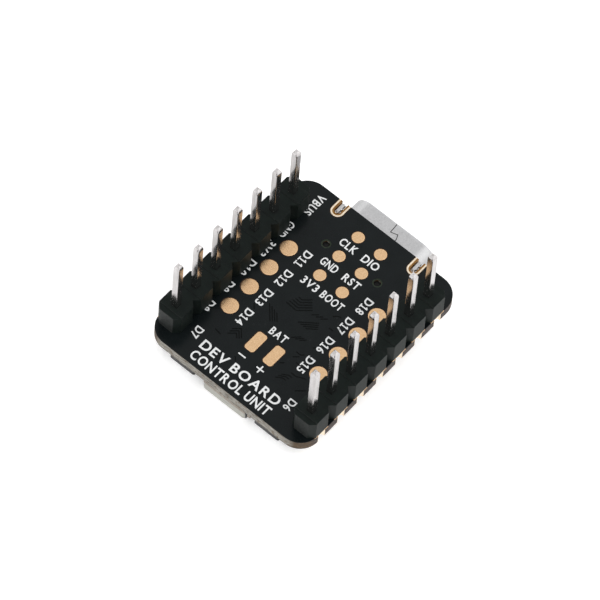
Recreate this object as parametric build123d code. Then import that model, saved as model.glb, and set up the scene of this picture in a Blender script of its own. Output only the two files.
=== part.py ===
from build123d import *
import os

# Microcontroller dev board with two soldered pin headers and a USB-C receptacle.
#
# Frame, in millimetres: +Z is the way the header pins point, +Y is the USB end, and +X runs
# from the VBUS..D7 pin row to the D0..D6 pin row. The origin is the centre of the board's
# outline, on the face that carries the headers. The components hang below, at negative Z.

# ---- driving dimensions: board ----
BOARD_X = 17.8
BOARD_Y = 21.0
BOARD_T = 1.0
BOARD_CORNER_R = 2.0
COPPER_T = 0.04

# ---- header pins and their plated holes ----
PITCH = 2.54
PIN_COUNT = 7
PIN_ROW_X = 3 * PITCH
PIN_CENTRE_Y = -0.42
PIN_W = 0.64
PIN_TOP_Z = 9.07
PIN_TAIL_Z = -2.35
PIN_TIP_W = 0.30
PIN_TIP_H = 0.40
DRILL_R = 0.52
EDGE_HOLE_R = 0.45
PIN_PAD_R = 0.85

# ---- moulded header strips ----
HEADER_W = 2.54
HEADER_TOP_Z = 2.54
HEADER_NOTCH = 0.50
HEADER_GROOVE_W = 1.06
HEADER_GROOVE_DEPTH = 0.12
HEADER_HOLE_W = PIN_W + 0.02

# ---- pads on the header face ----
GPIO_PAD_R = 0.78
GPIO_PAD_X = 5.0
GPIO_PAD_Y = 3.78
GPIO_PAD_PITCH = 2.57
TEST_PAD_R = 0.57
TEST_PAD_X = PITCH / 2
TEST_PAD_Y = 6.08
BATTERY_PAD_X = 1.02
BATTERY_PAD_Y = -5.13
BATTERY_PAD_W = 1.03
BATTERY_PAD_L = 2.1
BATTERY_PAD_CORNER_R = 0.28

# ---- USB-C receptacle ----
SHELL_W = 8.94
SHELL_H = 3.16
SHELL_T = 0.30
SHELL_GAP = 0.05
SHELL_BACK_Y = 5.2
SHELL_FRONT_Y = 12.5
WINDOW_X = 3.4
WINDOW_FRONT_Y = 6.9
LEG_L = 0.95
LEG_TOP_Z = 0.05
FRONT_LEG_Y = 9.875
REAR_LEG_Y = 6.25
SLOT_END_Y = 9.45
SLOT_R = 0.35
SLOT_PAD_R = 0.62
PEG_X = 2.89
PEG_Y = 6.28
PEG_R = 0.28
PEG_HOLE_R = 0.325
TONGUE_W = 6.69
TONGUE_T = 0.70
TONGUE_TIP_Y = 11.05
HOUSING_FRONT_Y = 6.3
MID_PLATE_T = 0.16
CONTACT_W = 0.25
CONTACT_T = 0.12
CONTACT_PROUD = 0.02
CONTACT_TIP_Y = 10.7
CONTACT_SIDES = (0.25, 0.75, 1.25, 2.75)

# ---- crystal, flush with the end away from the USB port ----
CRYSTAL_X = 0.05
CRYSTAL_Y = -8.85
CRYSTAL_L = 4.8
CRYSTAL_W = 3.2
CRYSTAL_H = 1.43
CRYSTAL_BASE_H = 0.45
CRYSTAL_BASE_EXTRA = 0.5

# ---- tactile buttons ----
BUTTON_X = 4.75
BUTTON_Y = -9.6
BUTTON_L = 2.6
BUTTON_W = 1.6
BUTTON_BODY_H = 0.75
BUTTON_FLOOR = 0.50
BUTTON_COVER_T = 0.08
BUTTON_WELL_R = 0.66
BUTTON_HOLE_R = 0.50
PLUNGER_R = 0.43
PLUNGER_FLANGE_R = 0.60
PLUNGER_FLANGE_T = 0.06
PLUNGER_PROUD = 0.17
DOME_RIM_R = 0.62
DOME_CROWN_R = 0.30
DOME_RISE = 0.17
DOME_T = 0.07

# ---- other components ----
MCU_SIZE = 7.0
MCU_H = 0.85
MCU_Y = -1.0
MCU_LEADS_PER_SIDE = 15
MCU_LEAD_PITCH = 0.4
MCU_THERMAL_PAD = 3.4
FLASH_L = 3.0
FLASH_W = 2.0
FLASH_H = 0.6
FLASH_Y = -6.0
SOT_X = 5.15
SOT_Y = -1.0
SOT_BODY_W = 1.6
SOT_BODY_L = 2.9
SOT_H = 1.10
SOT_SPAN = 2.8
SOT_LEAD_PITCH = 0.95
SOT_LEAD_W = 0.40
SOT_LEAD_T = 0.14
INDUCTOR_X = 4.9
INDUCTOR_Y = -6.3
RGB_LED_X = -4.9
RGB_LED_Y = -6.5
RGB_LED_SIZE = 2.0
RGB_LED_H = 0.85
INDICATOR_X = 5.2
INDICATOR_Y = 3.4
CHIP_L = 1.0
CHIP_W = 0.5
CHIP_TERMINAL = 0.25
CAPACITOR_H = 0.50
RESISTOR_H = 0.35

# ---- derived ----
FACE_Z = -BOARD_T
SOLDER_Z = FACE_Z - COPPER_T
PIN_YS = [PIN_CENTRE_Y + PITCH * (3 - i) for i in range(PIN_COUNT)]
LEFT_PINS = ("vbus", "gnd", "3v3", "d10", "d9", "d8", "d7")
RIGHT_PINS = ("d0", "d1", "d2", "d3", "d4", "d5", "d6")
SHELL_Z = FACE_Z - SHELL_GAP - SHELL_H / 2
LEG_X = (SHELL_W - SHELL_T) / 2


# ---- shape helpers ----
def block(x0, x1, y0, y1, z0, z1):
    centre = Pos((x0 + x1) / 2, (y0 + y1) / 2, (z0 + z1) / 2)
    return centre * Box(x1 - x0, y1 - y0, z1 - z0)


def centred_block(x, y, length, width, z0, z1):
    return block(x - length / 2, x + length / 2, y - width / 2, y + width / 2, z0, z1)


def post(radius, x, y, z0, z1):
    return Pos(x, y, (z0 + z1) / 2) * Cylinder(radius, z1 - z0)


def plate(outline, z0, z1):
    return extrude(Pos(0, 0, z0) * outline, amount=z1 - z0)


def along_y(outline, y0, y1, z):
    section = Plane(origin=(0, y0, z), x_dir=(1, 0, 0), z_dir=(0, 1, 0))
    return extrude(section * outline, amount=y1 - y0)


def frustum(x, y, width0, width1, z0, z1):
    low = Pos(x, y, z0) * Rectangle(width0, width0)
    high = Pos(x, y, z1) * Rectangle(width1, width1)
    return loft([low, high])


def join(shapes):
    whole = shapes[0]
    for shape in shapes[1:]:
        whole += shape
    return whole


def save(name, *shapes):
    solids = [solid for shape in shapes for solid in shape.solids()]
    export_step(solids[0] if len(solids) == 1 else Compound(solids), f"parts/{name}.step")


# ---- board, plating and pads ----
def pin_places():
    return [(side * PIN_ROW_X, y) for side in (-1, 1) for y in PIN_YS]


def slot_void(radius, z0, z1):
    """The two leg slots: round inner end, open at the board's +Y edge."""
    end = BOARD_Y / 2 + 1
    shapes = []
    for x in (-LEG_X, LEG_X):
        shapes.append(post(radius, x, SLOT_END_Y, z0, z1))
        shapes.append(block(x - radius, x + radius, SLOT_END_Y, end, z0, z1))
    return shapes


def circuit_board():
    board = plate(RectangleRounded(BOARD_X, BOARD_Y, BOARD_CORNER_R), FACE_Z, 0)
    for x, y in pin_places():
        board -= post(DRILL_R, x, y, FACE_Z - 1, 1)
        edge_x = BOARD_X / 2 if x > 0 else -BOARD_X / 2
        board -= post(EDGE_HOLE_R, edge_x, y, FACE_Z - 1, 1)
    for x in (-PEG_X, PEG_X):
        board -= post(PEG_HOLE_R, x, PEG_Y, FACE_Z - 1, 1)
    for void in slot_void(SLOT_R, FACE_Z - 1, 1):
        board -= void
    return board


def pin_pad(x, y):
    """One plated hole, its edge half-hole, and the pads that join them on both faces."""
    side = 1 if x > 0 else -1
    edge_x = side * BOARD_X / 2
    flat = Pos(x, y) * Circle(PIN_PAD_R)
    flat += Pos((x + edge_x) / 2, y) * Rectangle(abs(edge_x - x), 2 * PIN_PAD_R)
    pad = plate(flat, 0, COPPER_T) + plate(flat, SOLDER_Z, FACE_Z)
    pad += post(DRILL_R, x, y, SOLDER_Z, COPPER_T)
    half_hole = post(EDGE_HOLE_R, edge_x, y, SOLDER_Z, COPPER_T)
    pad += half_hole & block(*sorted((x, edge_x)), y - 1, y + 1, SOLDER_Z, COPPER_T)
    pad -= post(DRILL_R - COPPER_T, x, y, SOLDER_Z - 1, 1)
    return pad - post(EDGE_HOLE_R - COPPER_T, edge_x, y, SOLDER_Z - 1, 1)


def usb_slot_plating():
    """The lined slots with a pad on both faces, and the pads under the shell's rear legs."""
    shapes = []
    edge_y = BOARD_Y / 2
    for x in (-LEG_X, LEG_X):
        flat = Pos(x, SLOT_END_Y) * Circle(SLOT_PAD_R)
        flat += Pos(x, (SLOT_END_Y + edge_y) / 2) * Rectangle(2 * SLOT_PAD_R, edge_y - SLOT_END_Y)
        shape = plate(flat, 0, COPPER_T) + plate(flat, SOLDER_Z, FACE_Z)
        shape += post(SLOT_R, x, SLOT_END_Y, SOLDER_Z, COPPER_T)
        shape += block(x - SLOT_R, x + SLOT_R, SLOT_END_Y, edge_y, SOLDER_Z, COPPER_T)
        for void in slot_void(SLOT_R - COPPER_T, SOLDER_Z - 1, 1):
            shape -= void
        shapes.append(shape)
        shapes.append(centred_block(x, REAR_LEG_Y, 1.1, 1.5, SOLDER_Z, FACE_Z))
    return shapes


def gpio_pads():
    ys = [GPIO_PAD_Y - GPIO_PAD_PITCH * i for i in range(4)]
    return [post(GPIO_PAD_R, x, y, 0, COPPER_T) for x in (-GPIO_PAD_X, GPIO_PAD_X) for y in ys]


def test_pads():
    ys = [TEST_PAD_Y + PITCH * i for i in (1, 0, -1)]
    return [post(TEST_PAD_R, x, y, 0, COPPER_T) for x in (-TEST_PAD_X, TEST_PAD_X) for y in ys]


def battery_pads():
    outline = RectangleRounded(BATTERY_PAD_W, BATTERY_PAD_L, BATTERY_PAD_CORNER_R)
    places = [Pos(x, BATTERY_PAD_Y) for x in (-BATTERY_PAD_X, BATTERY_PAD_X)]
    return [plate(place * outline, 0, COPPER_T) for place in places]


# ---- headers ----
def header_insulator(x):
    """Seven joined octagonal cells with square holes for the pins and break grooves between them."""
    cell = Rectangle(HEADER_W, PITCH)
    cell = chamfer(cell.vertices(), HEADER_NOTCH)
    strip = join([plate(Pos(x, y) * cell, COPPER_T, HEADER_TOP_Z) for y in PIN_YS])
    groove_z = HEADER_TOP_Z - HEADER_GROOVE_DEPTH
    for y in PIN_YS[:-1]:
        groove_y = y - PITCH / 2
        strip -= centred_block(x, groove_y, HEADER_W + 1, HEADER_GROOVE_W, groove_z, HEADER_TOP_Z + 1)
    for y in PIN_YS:
        strip -= centred_block(x, y, HEADER_HOLE_W, HEADER_HOLE_W, -1, HEADER_TOP_Z + 1)
    return strip


def header_pin(x, y):
    top, tail = PIN_TOP_Z - PIN_TIP_H, PIN_TAIL_Z + PIN_TIP_H
    shaft = centred_block(x, y, PIN_W, PIN_W, tail, top)
    shaft += frustum(x, y, PIN_W, PIN_TIP_W, top, PIN_TOP_Z)
    return shaft + frustum(x, y, PIN_TIP_W, PIN_W, PIN_TAIL_Z, tail)


def header_solder_joint(x, y):
    """Solder that fills the plated hole and stands as a cone round the pin's tail."""
    cone_h = 0.75
    cone = Pos(x, y, SOLDER_Z - cone_h / 2) * Cone(0.50, 0.80, cone_h)
    fill = post(DRILL_R - COPPER_T, x, y, SOLDER_Z, 0)
    return cone + fill - centred_block(x, y, PIN_W, PIN_W, PIN_TAIL_Z, 1)


# ---- USB-C receptacle ----
def stadium(width, height):
    return SlotOverall(width, height)


def usb_shell():
    outer = stadium(SHELL_W, SHELL_H)
    inner = stadium(SHELL_W - 2 * SHELL_T, SHELL_H - 2 * SHELL_T)
    shell = along_y(outer - inner, SHELL_BACK_Y, SHELL_FRONT_Y, SHELL_Z)
    top_z = SHELL_Z + SHELL_H / 2
    shell -= block(-WINDOW_X, WINDOW_X, SHELL_BACK_Y - 1, WINDOW_FRONT_Y, top_z - SHELL_T - 0.1, top_z + 1)
    for x in (-LEG_X, LEG_X):
        shell += centred_block(x, FRONT_LEG_Y, SHELL_T, LEG_L, SHELL_Z, LEG_TOP_Z)
        shell += centred_block(x, REAR_LEG_Y, SHELL_T, LEG_L, SHELL_Z, SOLDER_Z)
    return shell


def usb_contacts(side):
    """One row of contacts. side is 1 for the tongue's face towards the board, -1 for the other."""
    face_z = SHELL_Z + side * (TONGUE_T / 2 + CONTACT_PROUD)
    strip_z = sorted((face_z, face_z - side * CONTACT_T))
    back_y = 5.5 if side > 0 else 4.9
    foot_y = back_y + 0.45 if side > 0 else back_y - 0.45
    shapes = []
    for x in [sign * reach for sign in (-1, 1) for reach in CONTACT_SIDES]:
        x0, x1 = x - CONTACT_W / 2, x + CONTACT_W / 2
        contact = block(x0, x1, back_y, CONTACT_TIP_Y, *strip_z)
        contact += block(x0, x1, back_y, back_y + CONTACT_T, strip_z[0], SOLDER_Z)
        foot = sorted((foot_y, back_y + CONTACT_T))
        contact += block(x0, x1, *foot, SOLDER_Z - CONTACT_T, SOLDER_Z)
        shapes.append(contact)
    return shapes


def usb_mid_plate():
    half_x, half_t = 3.1, MID_PLATE_T / 2
    return block(-half_x, half_x, 5.7, TONGUE_TIP_Y - 0.1, SHELL_Z - half_t, SHELL_Z + half_t)


def usb_housing(inside):
    """The insulator: a block that closes the shell's back, the tongue, a flange and two pegs."""
    clearance = 0.02
    core = stadium(SHELL_W - 2 * SHELL_T - clearance, SHELL_H - 2 * SHELL_T - clearance)
    housing = along_y(core, SHELL_BACK_Y + 0.05, HOUSING_FRONT_Y, SHELL_Z)
    half_t = TONGUE_T / 2
    tongue = block(
        -TONGUE_W / 2, TONGUE_W / 2, HOUSING_FRONT_Y, TONGUE_TIP_Y, SHELL_Z - half_t, SHELL_Z + half_t
    )
    housing += chamfer(tongue.edges().filter_by(Axis.X).group_by(Axis.Y)[-1], 0.15)
    flange_z = SHELL_Z + SHELL_H / 2 - SHELL_T - 0.05
    flange_x = WINDOW_X - 0.05
    housing += block(
        -flange_x, flange_x, SHELL_BACK_Y + 0.05, WINDOW_FRONT_Y - 0.1, flange_z, FACE_Z - SHELL_GAP
    )
    for x in (-PEG_X, PEG_X):
        housing += post(PEG_R, x, PEG_Y, flange_z, -0.15)
    for piece in inside:
        housing -= piece
    return housing


def usb_shell_solder(shell):
    """Solder in the two open slots and beside the rear legs."""
    shapes = []
    edge_y = BOARD_Y / 2 - 0.05
    for void in slot_void(SLOT_R - COPPER_T, SOLDER_Z, COPPER_T):
        shapes.append(void)
    fronts = [shapes[0] + shapes[1], shapes[2] + shapes[3]]
    keep = block(-6, 6, 0, edge_y, SOLDER_Z, COPPER_T)
    solder = [(front & keep) - shell for front in fronts]
    for side in (-1, 1):
        inner = side * (LEG_X - SHELL_T / 2)
        x0, x1 = sorted((inner, inner - side * 0.25))
        y0, y1 = REAR_LEG_Y - LEG_L / 2, REAR_LEG_Y + LEG_L / 2
        solder.append(block(x0, x1, y0, y1, SOLDER_Z - 0.2, SOLDER_Z) - shell)
    return solder


# ---- buttons ----
def button_body(x, y):
    low = FACE_Z - BUTTON_BODY_H
    body = centred_block(x, y, BUTTON_L, BUTTON_W, low, FACE_Z)
    return body - post(BUTTON_WELL_R, x, y, low - 1, FACE_Z - BUTTON_FLOOR)


def button_cover(x, y):
    """A thin steel plate over the body, with a tab folded up at each short side."""
    top = FACE_Z - BUTTON_BODY_H
    low = top - BUTTON_COVER_T
    cover = centred_block(x, y, BUTTON_L + 2 * BUTTON_COVER_T, BUTTON_W - 0.1, low, top)
    for side in (-1, 1):
        tab_x = x + side * (BUTTON_L + BUTTON_COVER_T) / 2
        cover += centred_block(tab_x, y, BUTTON_COVER_T, 0.8, low, top + 0.3)
    return cover - post(BUTTON_HOLE_R, x, y, low - 1, top + 1)


def button_dome(x, y):
    """A snap dome: a thin flat-crowned cone whose crown points away from the board."""
    rim_z = FACE_Z - BUTTON_FLOOR
    cone = Pos(x, y, rim_z - DOME_RISE / 2) * Cone(DOME_CROWN_R, DOME_RIM_R, DOME_RISE)
    return cone - Pos(0, 0, DOME_T) * cone


def button_plunger(x, y):
    """A stem with a flange held between the cover and the dome."""
    cover_z = FACE_Z - BUTTON_BODY_H
    flange_z = cover_z + 0.01
    flange = post(PLUNGER_FLANGE_R, x, y, flange_z, flange_z + PLUNGER_FLANGE_T)
    return flange + post(PLUNGER_R, x, y, cover_z - BUTTON_COVER_T - PLUNGER_PROUD, flange_z)


# ---- packages ----
def crystal():
    """A metal can on a longer base plate."""
    base_low = FACE_Z - CRYSTAL_BASE_H
    base_x = CRYSTAL_X + CRYSTAL_BASE_EXTRA / 2
    base_l = CRYSTAL_L + CRYSTAL_BASE_EXTRA
    base = centred_block(base_x, CRYSTAL_Y, base_l, CRYSTAL_W, base_low, FACE_Z)
    lid = centred_block(CRYSTAL_X, CRYSTAL_Y, CRYSTAL_L, CRYSTAL_W, FACE_Z - CRYSTAL_H, base_low)
    return base, fillet(lid.edges().filter_by(Axis.Z), 0.35)


def quad_leads(x, y, size, per_side, pitch, thermal_pad):
    """Flat leads along the four sides of a leadless package, and its thermal pad."""
    lead_l, lead_w = 0.40, 0.20
    leads = [centred_block(x, y, thermal_pad, thermal_pad, SOLDER_Z, FACE_Z)]
    reach = (size - lead_l) / 2
    for i in range(per_side):
        along = (i - (per_side - 1) / 2) * pitch
        for side in (-1, 1):
            leads.append(centred_block(x + side * reach, y + along, lead_l, lead_w, SOLDER_Z, FACE_Z))
            leads.append(centred_block(x + along, y + side * reach, lead_w, lead_l, SOLDER_Z, FACE_Z))
    return leads


def moulded_package(x, y, length, width, height):
    """A moulded body with softened upright corners and a shallow pin-one dimple."""
    low = FACE_Z - height
    body = centred_block(x, y, length, width, low, SOLDER_Z)
    body = chamfer(body.edges().filter_by(Axis.Z), 0.06)
    dimple_r = 0.06 * min(length, width)
    dimple_x, dimple_y = x - length / 2 + 4 * dimple_r, y + width / 2 - 4 * dimple_r
    return body - post(dimple_r, dimple_x, dimple_y, low - 1, low + 0.03)


def flash_leads():
    shapes = [centred_block(0, FLASH_Y, 1.2, 0.6, SOLDER_Z, FACE_Z)]
    for i in range(4):
        x = (i - 1.5) * 0.5
        for side in (-1, 1):
            shapes.append(centred_block(x, FLASH_Y + side * 0.8, 0.25, 0.4, SOLDER_Z, FACE_Z))
    return shapes


def gull_lead(side, y):
    """One bent lead of a five-lead package, about the package's own centre."""
    exit_z = FACE_Z - SOT_H / 2
    t, foot_l = SOT_LEAD_T, 0.35
    tip, body_edge = SOT_SPAN / 2, SOT_BODY_W / 2
    outline = [
        (body_edge, exit_z - t / 2),
        (tip - foot_l + t / 2, exit_z - t / 2),
        (tip - foot_l + t, FACE_Z - t),
        (tip, FACE_Z - t),
        (tip, FACE_Z),
        (tip - foot_l, FACE_Z),
        (tip - foot_l - t / 2, exit_z + t / 2),
        (body_edge, exit_z + t / 2),
    ]
    face = make_face(Polyline(*[(side * u, v) for u, v in outline], close=True))
    return Pos(0, y, 0) * extrude(Plane.XZ * face, amount=SOT_LEAD_W / 2, both=True)


def five_lead_package(x, y):
    body = centred_block(0, 0, SOT_BODY_W, SOT_BODY_L, FACE_Z - SOT_H, FACE_Z - 0.08)
    body = chamfer(body.faces().sort_by(Axis.Z)[0].edges(), 0.1)
    leads = [gull_lead(-1, i * SOT_LEAD_PITCH) for i in (-1, 0, 1)]
    leads += [gull_lead(1, i * SOT_LEAD_PITCH) for i in (-1, 1)]
    place = Pos(x, y, 0)
    return place * body, [place * lead for lead in leads]


def chip(x, y, upright, height, length=CHIP_L, width=CHIP_W, terminal=CHIP_TERMINAL):
    """A two-terminal chip part. upright turns its long side along Y."""
    inset = 0.02
    low = FACE_Z - height
    middle = length - 2 * terminal
    body = centred_block(0, 0, middle, width - 2 * inset, low + inset, FACE_Z - inset)
    ends = []
    for side in (-1, 1):
        end_x = side * (length - terminal) / 2
        ends.append(centred_block(end_x, 0, terminal, width, low, FACE_Z))
    place = Pos(x, y, 0) * Rot(0, 0, 90 if upright else 0)
    return place * body, [place * end for end in ends]


def capacitor_places():
    row = [(-3.0 + 1.2 * i, 3.2, True) for i in range(6)]
    low = [(x, -5.2, True) for x in (-3.05, -2.2, 2.2, 3.05)]
    sides = [(side * x, y, False) for side in (-1, 1) for x in (4.35, 5.75) for y in (1.2, -3.2)]
    return row + low + sides


def resistor_places():
    low = [(x, -6.45, True) for x in (-3.05, -2.2, 2.2, 3.05)]
    sides = [(side * x, y, False) for side in (-1, 1) for x in (4.35, 5.75) for y in (2.1, -4.1)]
    return low + sides


def chips(places, height):
    pairs = [chip(x, y, upright, height) for x, y, upright in places]
    return [body for body, _ in pairs], [end for _, ends in pairs for end in ends]


def rgb_led():
    low = FACE_Z - RGB_LED_H
    body = centred_block(RGB_LED_X, RGB_LED_Y, RGB_LED_SIZE, RGB_LED_SIZE, low, FACE_Z)
    well = Pos(RGB_LED_X, RGB_LED_Y, low + 0.2) * Cone(0.80, 0.65, 0.4)
    return body - well, well


def indicator_leds():
    """Two small LEDs: a flat base with a clear block on it."""
    bodies, lenses = [], []
    for x in (-INDICATOR_X, INDICATOR_X):
        bodies.append(centred_block(x, INDICATOR_Y, 1.6, 0.8, FACE_Z - 0.25, FACE_Z))
        lenses.append(centred_block(x, INDICATOR_Y, 1.1, 0.8, FACE_Z - 0.6, FACE_Z - 0.25))
    return bodies, lenses


def main():
    os.makedirs("parts", exist_ok=True)

    save("circuit_board", circuit_board())
    save("pin_pads", *[pin_pad(x, y) for x, y in pin_places()])
    save("gpio_pads", *gpio_pads())
    save("test_pads", *test_pads())
    save("battery_pads", *battery_pads())
    save("usb_slot_plating", *usb_slot_plating())

    save("left_header_insulator", header_insulator(-PIN_ROW_X))
    save("right_header_insulator", header_insulator(PIN_ROW_X))
    for side, names in ((-1, LEFT_PINS), (1, RIGHT_PINS)):
        for name, y in zip(names, PIN_YS):
            save(f"header_pin_{name}", header_pin(side * PIN_ROW_X, y))
    save("header_solder_joints", *[header_solder_joint(x, y) for x, y in pin_places()])

    shell = usb_shell()
    board_side, outer_side = usb_contacts(1), usb_contacts(-1)
    mid_plate = usb_mid_plate()
    save("usb_shell", shell)
    save("usb_contacts_board_side", *board_side)
    save("usb_contacts_outer_side", *outer_side)
    save("usb_mid_plate", mid_plate)
    save("usb_housing", usb_housing(board_side + outer_side + [mid_plate]))
    save("usb_shell_solder", *usb_shell_solder(shell))

    crystal_base, crystal_lid = crystal()
    save("crystal_base", crystal_base)
    save("crystal_lid", crystal_lid)
    for name, x in (("boot", -BUTTON_X), ("reset", BUTTON_X)):
        save(f"{name}_button_body", button_body(x, BUTTON_Y))
        save(f"{name}_button_cover", button_cover(x, BUTTON_Y))
        save(f"{name}_button_dome", button_dome(x, BUTTON_Y))
        save(f"{name}_button_plunger", button_plunger(x, BUTTON_Y))

    save("mcu_package", moulded_package(0, MCU_Y, MCU_SIZE, MCU_SIZE, MCU_H))
    mcu_leads = quad_leads(0, MCU_Y, MCU_SIZE, MCU_LEADS_PER_SIDE, MCU_LEAD_PITCH, MCU_THERMAL_PAD)
    save("mcu_leads", *mcu_leads)
    save("flash_package", moulded_package(0, FLASH_Y, FLASH_L, FLASH_W, FLASH_H))
    save("flash_leads", *flash_leads())
    for name, x in (("charger", -SOT_X), ("regulator", SOT_X)):
        package, leads = five_lead_package(x, SOT_Y)
        save(f"{name}_package", package)
        save(f"{name}_leads", *leads)
    core, terminals = chip(INDUCTOR_X, INDUCTOR_Y, False, 1.2, length=2.5, width=2.0, terminal=0.45)
    save("inductor_core", core)
    save("inductor_terminals", *terminals)

    bodies, ends = chips(capacitor_places(), CAPACITOR_H)
    save("capacitor_bodies", *bodies)
    save("capacitor_terminals", *ends)
    bodies, ends = chips(resistor_places(), RESISTOR_H)
    save("resistor_bodies", *bodies)
    save("resistor_terminals", *ends)
    led_body, led_lens = rgb_led()
    save("rgb_led_body", led_body)
    save("rgb_led_lens", led_lens)
    bodies, lenses = indicator_leds()
    save("indicator_led_bodies", *bodies)
    save("indicator_led_lenses", *lenses)


main()
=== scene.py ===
from math import asin, atan2, cos, degrees, pi, radians, sin, sqrt

import bmesh
import bpy
from mathutils import Matrix, Vector


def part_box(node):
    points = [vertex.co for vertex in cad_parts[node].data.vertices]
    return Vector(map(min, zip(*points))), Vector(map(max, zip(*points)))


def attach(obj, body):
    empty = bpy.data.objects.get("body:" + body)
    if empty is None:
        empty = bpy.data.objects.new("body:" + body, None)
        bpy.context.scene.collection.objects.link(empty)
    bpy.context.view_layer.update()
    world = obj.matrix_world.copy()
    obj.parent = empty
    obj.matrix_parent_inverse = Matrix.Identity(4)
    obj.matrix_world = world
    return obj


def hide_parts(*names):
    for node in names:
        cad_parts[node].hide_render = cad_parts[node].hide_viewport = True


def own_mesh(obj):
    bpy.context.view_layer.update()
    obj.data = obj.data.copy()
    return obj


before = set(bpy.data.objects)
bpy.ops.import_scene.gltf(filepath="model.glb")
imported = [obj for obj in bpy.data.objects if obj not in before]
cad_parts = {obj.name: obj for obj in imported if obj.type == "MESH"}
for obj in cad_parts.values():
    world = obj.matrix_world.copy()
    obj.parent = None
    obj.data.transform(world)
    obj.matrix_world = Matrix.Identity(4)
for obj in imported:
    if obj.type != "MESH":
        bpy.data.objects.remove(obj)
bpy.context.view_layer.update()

# Microcontroller dev board with two pin headers and a USB-C port. Meshes are built in
# millimetres in the row frame and scaled to metres when they become pieces: +Z is the way
# the header pins point, +Y is the USB end, and the components hang below the board.
MM = 0.001
ROOT = "board_assembly"


# ---- places, read from the frame ----
def box(node):
    """The lowest and highest corner of a CAD node, in millimetres."""
    low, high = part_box(node)
    return low / MM, high / MM


def solids(node):
    """The box of each separate solid of a CAD node, in millimetres, sorted by x and then y."""
    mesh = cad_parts[node].data
    spot_of = [tuple(round(c / MM, 4) for c in vertex.co) for vertex in mesh.vertices]
    parent = {spot: spot for spot in spot_of}

    def top(spot):
        while parent[spot] != spot:
            spot = parent[spot]
        return spot

    for polygon in mesh.polygons:
        first, *others = [top(spot_of[i]) for i in polygon.vertices]
        for other in others:
            parent[top(other)] = top(first)
    groups = {}
    for spot in parent:
        groups.setdefault(top(spot), []).append(spot)
    boxes = [[Vector([*map(end, zip(*spots))]) for end in (min, max)] for spots in groups.values()]
    return sorted(boxes, key=lambda pair: (round(pair[0].x, 2), round(pair[0].y, 2)))


def middle(low_high):
    return (low_high[0] + low_high[1]) / 2


LEFT_PINS = ("vbus", "gnd", "3v3", "d10", "d9", "d8", "d7")
RIGHT_PINS = ("d0", "d1", "d2", "d3", "d4", "d5", "d6")
PIN_NODES = [f"header_pin_{name}" for name in LEFT_PINS + RIGHT_PINS]
PINS = {node: middle(box(node)) for node in PIN_NODES}
PIN_YS = sorted(PINS[f"header_pin_{name}"].y for name in RIGHT_PINS)
PIN_X = PINS["header_pin_d0"].x
PITCH = PIN_YS[1] - PIN_YS[0]
BOARD_LOW, BOARD_HIGH = box("circuit_board")
HALF_X, HALF_Y = BOARD_HIGH.x, BOARD_HIGH.y
FACE_Z = BOARD_LOW.z
COPPER_Z = box("gpio_pads")[1].z
SOLDER_Z = FACE_Z - COPPER_Z
GPIO_PADS = solids("gpio_pads")
TEST_PADS = solids("test_pads")
BATTERY_PADS = solids("battery_pads")

# ---- sizes that the node boxes don't hold ----
CORNER_R = 2.0
DRILL_R = 0.52
PLATING_T = 0.04
EDGE_HOLE_R = 0.45
PIN_PAD_R = 0.85
SLOT_X = 4.32
SLOT_R = 0.35
SLOT_PAD_R = 0.62
SLOT_DEPTH = 1.05
PEG_X, PEG_Y = 2.89, 6.28
PEG_HOLE_R = 0.325
PEG_CLEARANCE_R = 0.45
BATTERY_CORNER_R = 0.28
MASK_GAP = 0.06
GAP_W = 0.11
MASK_FLOOR_T = 0.012
MASK_T = 0.04
PAD_TOP_Z = 0.032
PAD_RIM = 0.03
INK_TOP_Z = 0.052
FILM_RIM, BOARD_RIM = 0.012, 0.010

# Degrees: less is one plane, more is rounded by soften, more is shaded sharp.
FLAT_ANGLE, ROUND_ANGLE, CREASE_ANGLE = 1, 30, 35
MERGE = 0.0005


# ---- outlines ----
def arc(x, y, radius, start, stop, steps=12):
    """Points on an arc from start to stop, in degrees, with both ends."""
    turns = [radians(start + (stop - start) * i / steps) for i in range(steps + 1)]
    return [(x + radius * cos(t), y + radius * sin(t)) for t in turns]


def circle(x, y, radius, steps=64):
    return arc(x, y, radius, 0, 360, steps)[:-1]


def rounded(x, y, length, width, radius, steps):
    """A rectangle with round corners."""
    points = []
    for side_x, side_y, start in ((1, 1, 0), (-1, 1, 90), (-1, -1, 180), (1, -1, 270)):
        corner_x = x + side_x * (length / 2 - radius)
        corner_y = y + side_y * (width / 2 - radius)
        points += arc(corner_x, corner_y, radius, start, start + 90, steps)
    return points


def around(low, high, radius, steps=6, grow=0.0):
    """The outline of a box seen from above, with round corners, grown on every side."""
    centre, size = middle((low, high)), high - low
    return rounded(centre.x, centre.y, size.x + 2 * grow, size.y + 2 * grow, radius, steps)


def area(loop):
    return sum(a[0] * b[1] - b[0] * a[1] for a, b in zip(loop, loop[1:] + loop[:1])) / 2


def left_of(a, b):
    """The direction that lies to the left on the way from a to b."""
    along = Vector((b[0] - a[0], b[1] - a[1])).normalized()
    return Vector((-along.y, along.x))


def inset(loop, distance):
    """The loop with each side moved to its own left by distance."""
    if distance == 0:
        return list(loop)
    moved = []
    for before, here, after in zip(loop[-1:] + loop[:-1], loop, loop[1:] + loop[:1]):
        first, second = left_of(before, here), left_of(here, after)
        shift = (first + second) / max(1 + first.dot(second), 0.3) * distance
        moved.append((here[0] + shift.x, here[1] + shift.y))
    return moved


def line_sides(path, width):
    """Each segment's own left, and the step from each point to the left side of a line that wide."""
    spots = [Vector(p) for p in path]
    sides = [left_of(a, b) for a, b in zip(spots, spots[1:])]
    pairs = zip(sides[:1] + sides, sides + sides[-1:])
    return sides, [(before + after) / (1 + before.dot(after)) * width / 2 for before, after in pairs]


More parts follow.
